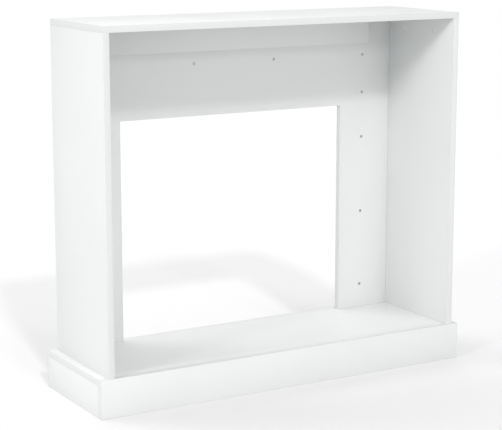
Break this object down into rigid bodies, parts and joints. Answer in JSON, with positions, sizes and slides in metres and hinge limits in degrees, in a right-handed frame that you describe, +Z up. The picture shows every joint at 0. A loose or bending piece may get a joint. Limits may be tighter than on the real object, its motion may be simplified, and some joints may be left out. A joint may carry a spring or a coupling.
{
  "type": "fireplace mantel surround",
  "caption": "Flat-pack white fireplace mantel surround: open-backed body with a square firebox opening, on a wider hollow plinth.",
  "frame": {"origin": "middle of the footprint, on the floor", "axes": "+Z up, front of the mantel towards -Y, open rear (the wall side) towards +Y, +X to the right of a person who faces the front"},
  "size_m": [1, 0.3, 0.88],
  "materials": {
    "white_board": "chipboard faced and edged in white melamine laminate, fine satin texture",
    "white_trim": "fibreboard wrapped in white foil, satin",
    "raw_board": "chipboard faced in white melamine laminate, raw long edges",
    "zinc_steel": "bright zinc-plated steel",
    "zinc_alloy": "die-cast zinc, as cast",
    "cover_plastic": "white moulded polyethylene",
    "beech": "turned beech, unfinished"
  },
  "bodies": {
    "root": {"top_board": "white_board", "left_side_panel": "white_board", "right_side_panel": "white_board", "front_panel": "white_board", "top_rail": "white_board", "left_pilaster_shaft": "white_trim", "right_pilaster_shaft": "white_trim", "left_pilaster_block": "white_trim", "right_pilaster_block": "white_trim", "frieze_board": "white_trim", "plinth_top_board": "white_board", "plinth_rear_board": "white_board", "plinth_front_board": "white_board", "left_plinth_end": "white_board", "right_plinth_end": "white_board", "plinth_stiffener": "raw_board", "trim_screws": "zinc_steel", "top_rail_screws": "zinc_steel", "top_cam_locks": "zinc_alloy", "top_cam_covers": "cover_plastic", "top_cam_bolts": "zinc_steel", "top_dowels": "beech", "front_panel_dowels": "beech", "base_screws": "zinc_steel", "base_dowels": "beech", "plinth_cam_locks": "zinc_alloy", "plinth_cam_bolts": "zinc_steel", "plinth_dowels": "beech"}
  },
  "joints": []
}
